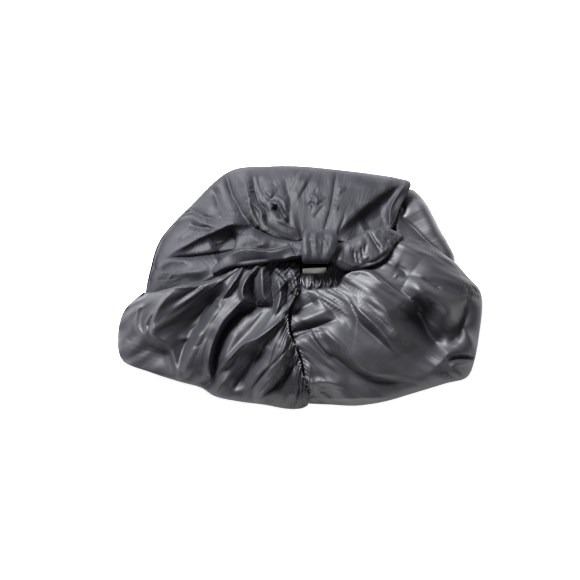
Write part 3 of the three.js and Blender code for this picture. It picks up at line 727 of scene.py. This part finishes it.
RIGHT_SECTIONS = [
    (8.6, -116, 9.2, -104, 14, 19, 24, 0, 6, 2, 0.8),
    (31, -117, 6, -91, 17, 27, 36, 0, 8, 2, 1.0),
    (56, -118, 2, -70, 23, 37, 45, 0, 9, 2, 1.0),
    (84, -114, -7, -48, 28, 45, 52, 0, 10, 2, 1.0),
    (112, -106, -9, -28, 31, 50, 53, 0, 10, 3, 0.8),
    (145, -96, -1, -6, 31, 53, 54, 0, 10, 4, 0.5),
    (166, -90, 18, -2, 28, 53, 56, 0, 10, 3, 0.4),
    (174, -73, 37, 1, 26, 52, 56, 0, 10, 3, 0.5),
    (179, -46, 46, 13, 28, 51, 55, 0, 10, 4, 0.6),
    (182, -19, 64, 24, 31, 51, 55, 0, 10, 4, 0.3),
    (179.5, -3, 81, 32, 33, 50, 54, 6, 9, 3, 0.1),
    (166, 12, 92, 43, 32, 48, 52, 19, 5, 3, 0.0),
    (150, 28, 100, 48, 36, 44, 47, 27, 4, 2, 0.0),
    (122, 46, 106, 50, 36, 39, 41, 27, 3, 2, 0.0),
]
RIGHT_FOLDS = [
    ([(32, 4), (44, 12), (56, 15), (70, 13), (82, 4), (100, -10), (113, -18), (124, -28)], 10, 2.2, 14, 0.8),
    ([(62, 20), (80, 9), (95, -2), (108, -11), (122, -22)], -5, 7, 1.6, 0.6),
    ([(95, 22), (103, 16), (107, 8)], -2.2, 3, 3, 1.5),
    ([(120, 9), (130, 4), (142, -4)], -3, 2, 3, 0.8),
    ([(106, 6), (136, -15), (158, -38)], 12, 10, 8, 6),
    ([(110, -12), (122, -34), (130, -50), (147, -68)], -20, 10, 13, 5),
    ([(144, -62), (157, -48), (164, -28), (168, -6)], -8, 7, 6, 2.5),
    ([(160, -38), (170, -52), (176, -64)], 4, 5, 5, 2),
    ([(144, -74), (160, -70), (178, -71)], -8, 2, 2, 0.8),
    ([(148, -78), (174, -75)], 3.6, 2, 3, 0.8),
    ([(56, 10), (84, -26), (106, -66)], 9, 12, 22, 7),
    ([(40, -4), (50, -16), (62, -38), (84, -57), (96, -66)], -5, 4, 6, 2.5),
    ([(50, -12), (60, -24), (80, -43), (97, -66)], 4, 3.5, 3, 0.8),
    ([(62, -6), (76, -26), (92, -50)], -2.6, 5, 6, 2.5),
    ([(4, -40), (24, -64), (38, -74), (57, -87), (84, -93), (124, -97)], -6.4, 7, 5, 1.6),
    ([(18, -36), (38, -56), (49, -67), (70, -84), (98, -89)], 7, 10, 5, 2),
    ([(12, -40), (21, -56), (33, -69)], 3.6, 3, 3, 1),
    ([(-15, -48), (7, -41), (38, -33)], -8, 3, 2.5, 0.5),
    ([(-12, -55), (10, -45), (29, -41)], -4.4, 2, 2.4, 0.5),
    ([(-9, -27), (4, -20), (19, -12)], -7.5, 7, 5, 2),
    ([(-6, -37), (14, -28), (36, -21)], 4.0, 5, 5, 2),
    ([(17, -10), (30, -22), (43, -38)], -2.8, 4, 4, 2),
    ([(2, -98), (24, -95), (48, -99)], 3.4, 5, 5, 2),
    ([(2, -111), (54, -111), (100, -110)], 3, 3, 3, 0.8),
]
RIGHT_SPARE = [(0.12, 0.24), (0.05, 0.14), (0.02, 0.05), (0.02, 0.04), (0.03, 0.05), (0.05, 0.08)]
right_points = panel_points(
    RIGHT_SECTIONS,
    RIGHT_FOLDS,
    columns=345,
    top_rows=99,
    gathers=[(12, 1.2, 9), (5, 1.1, 4)],
    wrinkles=[(26, 4, 1.3), (50, 8, 0.4)],
    seed=21,
    trail=1,
)
right_points = settled(right_points, RIGHT_SPARE, spare_in=0.03, seed=6)
# Painted light: the right lobe's shine is set above the left lobe's so that it shows lighter.
right_satin = satin("right_satin", SATIN_COLOUR, roughness=0.57, shine=0.64)
back_right = cloth_piece("back_right_cloth", right_points, right_satin)
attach(back_right, "root")
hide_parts("back_panel_right")


# Ruching thread: bars of grey sewing thread, slanting this way and that, that draw the edges of the two
# back panels together along the seam between them.
NEAR_PATH = 1.5


def under_path(points, path):
    """The highest points of the cloth that the camera sees close to each point of a path on the chart."""
    spots = points.reshape(-1, 3)
    seen_x = spots[:, 0] * MM_IN_METRE - CHART_SHIFT[0]
    along = spots[:, 1] * MM_IN_METRE - CHART_SHIFT[1]
    seen_v = along * LOOK_SIN + spots[:, 2] * MM_IN_METRE * LOOK_COS
    found = []
    for x, v in path:
        away = np.hypot(seen_x - x, seen_v - v)
        near = np.flatnonzero(away < away.min() + NEAR_PATH)
        found.append(spots[near[np.argmax(spots[near, 2])]])
    return found


def sewn(name, path, pitch, bar, slant, seed, thread):
    """Bars of thread set along a path by a Geometry Nodes tree, kept as a plain mesh."""
    line = bpy.data.meshes.new(name + "_line")
    spots = [tuple(float(c) for c in spot) for spot in path]
    line.from_pydata(spots, [(k, k + 1) for k in range(len(spots) - 1)], [])
    piece = bpy.data.objects.new(name, line)
    bpy.context.collection.objects.link(piece)
    tree = bpy.data.node_groups.new(name, "GeometryNodeTree")
    tree.interface.new_socket("Geometry", in_out="INPUT", socket_type="NodeSocketGeometry")
    tree.interface.new_socket("Geometry", in_out="OUTPUT", socket_type="NodeSocketGeometry")
    inputs = {}
    for input_name, kind, value in [
        ("Pitch", "NodeSocketFloat", pitch),
        ("Bar", "NodeSocketVector", bar),
        ("Slant", "NodeSocketFloat", slant),
        ("Seed", "NodeSocketInt", seed),
        ("Thread", "NodeSocketMaterial", thread),
    ]:
        socket = tree.interface.new_socket(input_name, in_out="INPUT", socket_type=kind)
        inputs[socket.identifier] = value
    inlet = tree.nodes.new("NodeGroupInput")
    outlet = tree.nodes.new("NodeGroupOutput")
    curve = tree.nodes.new("GeometryNodeMeshToCurve")
    spaced = tree.nodes.new("GeometryNodeResampleCurve")
    spaced.mode = "LENGTH"
    tangent = tree.nodes.new("GeometryNodeInputTangent")
    aimed = tree.nodes.new("FunctionNodeAlignRotationToVector")
    aimed.axis = "X"
    chance = tree.nodes.new("FunctionNodeRandomValue")
    chance.data_type = "FLOAT"
    chance.inputs[2].default_value = -1.0
    chance.inputs[3].default_value = 1.0
    turn_by = tree.nodes.new("ShaderNodeMath")
    turn_by.operation = "MULTIPLY"
    slanted = tree.nodes.new("FunctionNodeAxisAngleToRotation")
    slanted.inputs["Axis"].default_value = (0.0, 0.0, 1.0)
    turned = tree.nodes.new("FunctionNodeRotateRotation")
    turned.rotation_space = "LOCAL"
    bead = tree.nodes.new("GeometryNodeMeshUVSphere")
    bead.inputs["Segments"].default_value = 8
    bead.inputs["Rings"].default_value = 5
    bead.inputs["Radius"].default_value = 1.0
    placed = tree.nodes.new("GeometryNodeInstanceOnPoints")
    joined = tree.nodes.new("GeometryNodeRealizeInstances")
    coloured = tree.nodes.new("GeometryNodeSetMaterial")
    link = tree.links.new
    link(inlet.outputs["Geometry"], curve.inputs["Mesh"])
    link(curve.outputs["Curve"], spaced.inputs["Curve"])
    link(inlet.outputs["Pitch"], spaced.inputs["Length"])
    link(tangent.outputs["Tangent"], aimed.inputs["Vector"])
    link(inlet.outputs["Seed"], chance.inputs["Seed"])
    link(chance.outputs[1], turn_by.inputs[0])
    link(inlet.outputs["Slant"], turn_by.inputs[1])
    link(turn_by.outputs[0], slanted.inputs["Angle"])
    link(aimed.outputs["Rotation"], turned.inputs["Rotation"])
    link(slanted.outputs["Rotation"], turned.inputs["Rotate By"])
    link(spaced.outputs["Curve"], placed.inputs["Points"])
    link(bead.outputs["Mesh"], placed.inputs["Instance"])
    link(turned.outputs["Rotation"], placed.inputs["Rotation"])
    link(inlet.outputs["Bar"], placed.inputs["Scale"])
    link(placed.outputs["Instances"], joined.inputs["Geometry"])
    link(joined.outputs["Geometry"], coloured.inputs["Geometry"])
    link(inlet.outputs["Thread"], coloured.inputs["Material"])
    link(coloured.outputs["Geometry"], outlet.inputs["Geometry"])
    sewing = piece.modifiers.new("sewing", "NODES")
    sewing.node_group = tree
    for identifier, value in inputs.items():
        sewing[identifier] = value
    bpy.context.view_layer.update()
    made = bpy.data.meshes.new_from_object(piece.evaluated_get(bpy.context.evaluated_depsgraph_get()))
    made.polygons.foreach_set("use_smooth", np.ones(len(made.polygons), dtype=bool))
    piece.modifiers.clear()
    piece.data = made
    bpy.data.meshes.remove(line)
    bpy.data.node_groups.remove(tree)
    return piece


grey_thread = satin("grey_thread", (0.11, 0.11, 0.125), roughness=0.5)
SEAM_PATH = [(8.4, -110), (7, -100), (4.6, -91), (0.5, -71), (-4, -58), (-9, -46), (-10.5, -34)]
seam_path = smooth_rows(SEAM_PATH, 60).T
both_panels = np.concatenate([left_points.reshape(-1, 3), right_points.reshape(-1, 3)])
ruching = sewn(
    "ruching_thread",
    under_path(both_panels, seam_path),
    pitch=0.0031,
    bar=(0.0017, 0.0006, 0.0006),
    slant=1.3,
    seed=4,
    thread=grey_thread,
)
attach(ruching, "root")


# Front band: two puffed ends of a wide elasticated band, folded double, that run out from the loop
# and taper where they are caught between the front panel and the back panels.
BAND_ROWS = 110
BAND_BELLY = 3.0  # how far the underside hangs below the edges
BAND_FULLNESS = 0.38
BELLY_FULLNESS = 0.75
CREASE_ONSET = 1.6  # how soon the creases reach full depth above the edges


def band_points(sections, columns, creases, seed):
    """A flattened tube through the band's sections, fuller on top, with the band's own creases."""
    low_x, low_v, high_x, high_v, low, high, crest = smooth_rows(sections, columns)[:, :, None]
    turn = np.linspace(0.0, 2 * math.pi, BAND_ROWS)[None, :]
    q = 0.5 - 0.5 * np.cos(turn)
    over = np.sin(turn)
    across = low_x + (high_x - low_x) * q
    up = low_v + (high_v - low_v) * q
    edge = low + (high - low) * q
    top = (crest - edge) * np.abs(over) ** BAND_FULLNESS
    belly = -BAND_BELLY * np.abs(over) ** BELLY_FULLNESS
    lift = edge + np.where(over > 0, top, belly)
    lift = lift + np.clip(over * CREASE_ONSET, 0, 1) * folds_lift(creases, across, up, trail=1, seed=seed)
    return charted(across, up, lift)


# low edge x, v, high edge x, v, heights of the low edge, of the high edge and of the crest
BAND_LEFT_SECTIONS = [
    (18, 28, 18, 52, 57, 57, 69),
    (9, 28, 9, 51, 57, 57, 68.5),
    (0, 29, -1, 45, 56, 54, 66),
    (-17, 26, -18, 47, 55, 48, 63),
    (-34, 24, -34, 53, 54, 45, 61),
    (-49, 22, -49, 57, 53, 44, 60),
    (-60, 21, -61, 51, 51, 44, 57),
    (-67, 20, -67, 37, 49, 45, 55),
    (-77, 17, -77, 29, 47, 45, 52),
    (-84, 14, -85, 20, 45, 44, 48),
    (-87, 13, -88, 15, 44, 44, 46),
]
BAND_LEFT_CREASES = [
    ([(-72, 31), (-59, 36), (-49, 37), (-38, 35.5), (-26, 35.5), (-14, 38.5), (-6, 39)], 3.8, 1.0, 8, 0.4),
    ([(-68, 35), (-59, 38.5), (-49, 39.5), (-38, 38), (-26, 38), (-14, 41), (-6, 41)], -2.9, 6, 1.2, 0.4),
    ([(-64, 24), (-45, 27), (-28, 28)], -1.6, 3, 3, 1),
    ([(-52, 54), (-42, 46), (-30, 42)], 1.3, 5, 5, 2),
    ([(-18, 27), (-8, 31), (2, 31)], 1.9, 2, 1.2, 0.4),
    ([(-12, 44), (-6, 38), (-4, 31)], -1.6, 2, 2, 0.5),
]
BAND_SPARE = [(0.05, 0.05), (0.12, 0.12), (0.05, 0.05)]
BAND_SPARE_IN = 0.06
BAND_HELD = 4
band_left_points = settled(
    band_points(BAND_LEFT_SECTIONS, 200, BAND_LEFT_CREASES, seed=31),
    BAND_SPARE,
    BAND_SPARE_IN,
    seed=33,
    held_first=BAND_HELD,
    held_last=BAND_HELD,
)
# Painted shade: the left band end and the loop get a low shine so that they show darker.
band_satin = satin("band_satin", SATIN_COLOUR, roughness=0.58, shine=0.26)
band_left = cloth_piece("band_left_cloth", band_left_points, band_satin)
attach(band_left, "root")
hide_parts("front_band_left")

BAND_RIGHT_SECTIONS = [
    (21, 28, 21, 52, 57, 57, 69),
    (28, 27, 29, 51, 57, 57, 68.5),
    (34, 23, 37, 44, 56, 54, 67),
    (42, 17.5, 47, 45, 57, 50, 65),
    (53, 16.5, 57, 50, 57.5, 47, 63.5),
    (66, 20, 68, 56, 57.5, 46, 62.5),
    (78, 24, 79, 59, 57, 45, 61),
    (85, 29, 87, 58, 56, 44, 59.5),
    (90, 35, 94, 55.5, 54, 43, 57),
    (94, 41, 100, 52.5, 50, 41, 52.5),
    (97, 45, 103, 50, 43, 39, 45),
]
NEAR_SEAM = [(66, 57), (73, 46), (80, 35)]
FAR_SEAM = [(67.5, 57.5), (74.5, 46.5), (81.5, 35.5)]
BAND_RIGHT_CREASES = [
    (NEAR_SEAM, -2.2, 0.8, 0.8, 0.3),
    (FAR_SEAM, -1.9, 0.8, 0.8, 0.3),
    ([(66, 24), (78, 30), (87, 38), (94, 47)], 2.2, 5, 2, 0.8),
    ([(60, 21), (76, 27), (88, 36)], -2, 3, 3, 1),
    ([(54, 38), (54, 30), (56, 23)], -1.3, 1.0, 1.8, 0.4),
    ([(57.5, 36), (58, 29), (60, 23)], -1.5, 1.0, 1.8, 0.4),
    ([(61, 40), (63, 28)], -1.2, 1.6, 1.0, 0.4),
    ([(66, 43), (65, 33)], -0.9, 1.2, 1.2, 0.4),
    ([(36, 30), (48, 24), (60, 19)], 2.4, 3, 4, 0.8),
    ([(44, 42), (56, 43), (66, 47)], 1.3, 5, 6, 2),
    ([(76, 56), (86, 53), (98, 50)], -1.8, 2, 3, 0.8),
    ([(84, 48), (90, 42), (96, 40)], -1.8, 3, 2, 0.8),
]
band_right_points = settled(
    band_points(BAND_RIGHT_SECTIONS, 180, BAND_RIGHT_CREASES, seed=32),
    BAND_SPARE,
    BAND_SPARE_IN,
    seed=34,
    held_first=BAND_HELD,
    held_last=BAND_HELD,
)
# Painted light: the right band end's shine is set above the left end's so that it shows lighter.
band_right_satin = satin("band_right_satin", SATIN_COLOUR, roughness=0.58, shine=0.48)
band_right = cloth_piece("band_right_cloth", band_right_points, band_right_satin)
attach(band_right, "root")
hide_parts("front_band_right")

# Band stitches: two short rows of grey thread, side by side, across the right end of the band. They
# lie in the two narrow creases that they draw into the satin.
for side_name, seam in (("near", NEAR_SEAM), ("far", FAR_SEAM)):
    twin = sewn(
        "band_stitches_" + side_name,
        under_path(band_right_points, smooth_rows(seam, 24).T),
        pitch=0.002,
        bar=(0.0008, 0.00022, 0.00022),
        slant=0.1,
        seed=5,
        thread=grey_thread,
    )
    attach(twin, "root")

# Knot loop: a short sleeve of satin, folded double and sewn shut underneath, that gathers the middle
# of the band. It is widest past its middle and narrows to its near end, and soft folds run along it.
LOOP_MIDDLE = (40.5, 63.5)
LOOP_HALF = (16.5, 10.5)
LOOP_SQUARE = 2.0 / 3.0  # power that squares the sleeve's round section
LOOP_THICK_MM = 1.4
LOOP_COLUMNS = 150
LOOP_ROWS = 80
LOOP_FOLD_ONSET = 1.4  # how soon the folds reach full depth above the sides
LOOP_EDGE_DROP = 1.6
LOOP_EDGE_RUN = 0.06
# up on the chart, left side, right side
LOOP_SIDES = [(23, 3.5, 28.5), (28, 2.5, 31), (37, 2, 35.5), (46, 2.5, 37.7), (52, 3.5, 36.5), (58, 5, 33.5)]
LOOP_FOLDS = [
    ([(7, 56), (5.5, 46), (8, 28)], 0.9, 2.5, 3, 1),
    ([(11, 58), (10.5, 46), (13, 26)], -0.7, 2, 2, 1),
    ([(17, 57), (15, 46), (19, 27)], 1.0, 2, 3.5, 1),
    ([(24, 57), (24, 46), (22, 27)], -0.7, 3, 2, 1),
    ([(30, 56), (32, 46), (26, 28)], 0.7, 3, 2.5, 1),
]
loop_turn = np.linspace(0.0, 2 * math.pi, LOOP_COLUMNS, endpoint=False)[:, None]
loop_side = np.linspace(0.0, 1.0, LOOP_ROWS)[None, :]
turn_cos = np.cos(loop_turn)
turn_sin = np.sin(loop_turn)
loop_up = LOOP_MIDDLE[0] + LOOP_HALF[0] * np.sign(turn_cos) * np.abs(turn_cos) ** LOOP_SQUARE
loop_lift = LOOP_MIDDLE[1] + LOOP_HALF[1] * np.sign(turn_sin) * np.abs(turn_sin) ** LOOP_SQUARE
side_v, side_left, side_right = smooth_rows(LOOP_SIDES, 60)
loop_left = np.interp(loop_up, side_v, side_left)
loop_right = np.interp(loop_up, side_v, side_right)
loop_across = loop_left + (loop_right - loop_left) * loop_side
loop_up = np.broadcast_to(loop_up, loop_across.shape)
loop_top = np.clip(turn_sin * LOOP_FOLD_ONSET, 0.0, 1.0)
edge_fall = np.exp(-loop_side / LOOP_EDGE_RUN) + np.exp(-(1 - loop_side) / LOOP_EDGE_RUN)
loop_folds = folds_lift(LOOP_FOLDS, loop_across, loop_up, trail=3, seed=41)
loop_lift = loop_lift + loop_top * (loop_folds - LOOP_EDGE_DROP * edge_fall)
loop_points = charted(loop_across, loop_up, loop_lift)
knot_loop = cloth_piece("knot_loop_cloth", loop_points, band_satin, thick_mm=LOOP_THICK_MM, loops=True)
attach(knot_loop, "root")
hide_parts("knot_loop")

# Nape casing: a channel of satin over narrow elastic, drawn into small pleats, just inside the near
# edge of the opening. It reaches further in at both ends.
CASING_ENDS = (-8.0, 46.0)
CASING_NEAR = -6.0
CASING_INNER = 13.0
CASING_RIGHT = (24.0, 31.0)  # where it widens to the right
CASING_RIGHT_MORE = 9.0
CASING_LEFT = (2.0, -4.0)  # and to the left
CASING_LEFT_MORE = 6.0
CASING_LIFT = 46.0
CASING_SAG = 2.5
CASING_COLUMNS = 200
CASING_ROWS = 50
CASING_FOLDS = [
    ([(-6, 13), (-4, 6), (-6, -2)], 3.2, 1.2, 1.6, 0.3),
    ([(-1, 14), (1, 7), (-2, -2)], 3.6, 1.0, 2.0, 0.3),
    ([(4, 13), (3, 6), (6, -2)], 2.6, 1.0, 1.4, 0.3),
    ([(8, 12), (11, 8), (10, 2), (7, -3)], 4.2, 1.0, 2.2, 0.3),
    ([(14, 13), (13, 6), (15, -2)], 2.6, 1.0, 1.4, 0.3),
    ([(17, 13), (21, 9), (20, 3), (16, -3)], 4.6, 1.0, 2.2, 0.3),
    ([(25, 15), (24, 7), (26, -1)], 3.0, 1.0, 1.6, 0.3),
    ([(31, 22), (28, 14), (31, 6), (28, -2)], 5.0, 1.2, 2.2, 0.3),
    ([(36, 20), (35, 10), (38, 0)], 3.6, 1.2, 1.6, 0.3),
    ([(42, 16), (42, 4)], 3.0, 1.4, 1.4, 0.3),
]
casing_across = np.linspace(*CASING_ENDS, CASING_COLUMNS)[:, None].repeat(CASING_ROWS, axis=1)
casing_fall = np.linspace(0.0, 1.0, CASING_ROWS)[None, :]
further_right = CASING_RIGHT_MORE * smoothstep(*CASING_RIGHT, casing_across)
further_left = CASING_LEFT_MORE * smoothstep(*CASING_LEFT, casing_across)
casing_inner = CASING_INNER + further_right + further_left
casing_up = CASING_NEAR + (casing_inner - CASING_NEAR) * casing_fall
casing_lift = CASING_LIFT - CASING_SAG * casing_fall**2 + folds_lift(CASING_FOLDS, casing_across, casing_up)
casing_points = charted(casing_across, casing_up, casing_lift)
casing_satin = satin("casing_satin", (0.03, 0.03, 0.035), roughness=0.45)
casing = cloth_piece("nape_casing_cloth", casing_points, casing_satin)
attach(casing, "root")
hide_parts("nape_casing")

# Inner label: a bare strip of pale woven tape, sewn in under the band and hanging into the opening.
# It carries no print, and bows a little between its sides.
LABEL_MIDDLE = 14.5
LABEL_WIDE = 24.0
LABEL_TOP = (19.0, 45.0)  # where it is sewn in: up on the chart, and above the table
LABEL_DROP = (15.0, 10.0)  # how far it hangs from there, on the chart and towards the table
LABEL_TILT = 1.0
LABEL_BOW = 0.8
LABEL_THICK_MM = 0.5
label_share = np.linspace(-0.5, 0.5, 40)[:, None]
label_fall = np.linspace(0.0, 1.0, 30)[None, :]
label_points = charted(
    LABEL_MIDDLE + LABEL_WIDE * label_share,
    LABEL_TOP[0] - LABEL_DROP[0] * label_fall + LABEL_TILT * label_share,
    LABEL_TOP[1] - LABEL_DROP[1] * label_fall + LABEL_BOW * np.cos(2 * math.pi * label_share),
)
label_tape = satin("label_tape", (0.66, 0.67, 0.63), roughness=0.6)
label = cloth_piece("inner_label_tape", label_points, label_tape, thick_mm=LABEL_THICK_MM)
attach(label, "root")
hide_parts("inner_label")

bpy.context.view_layer.update()
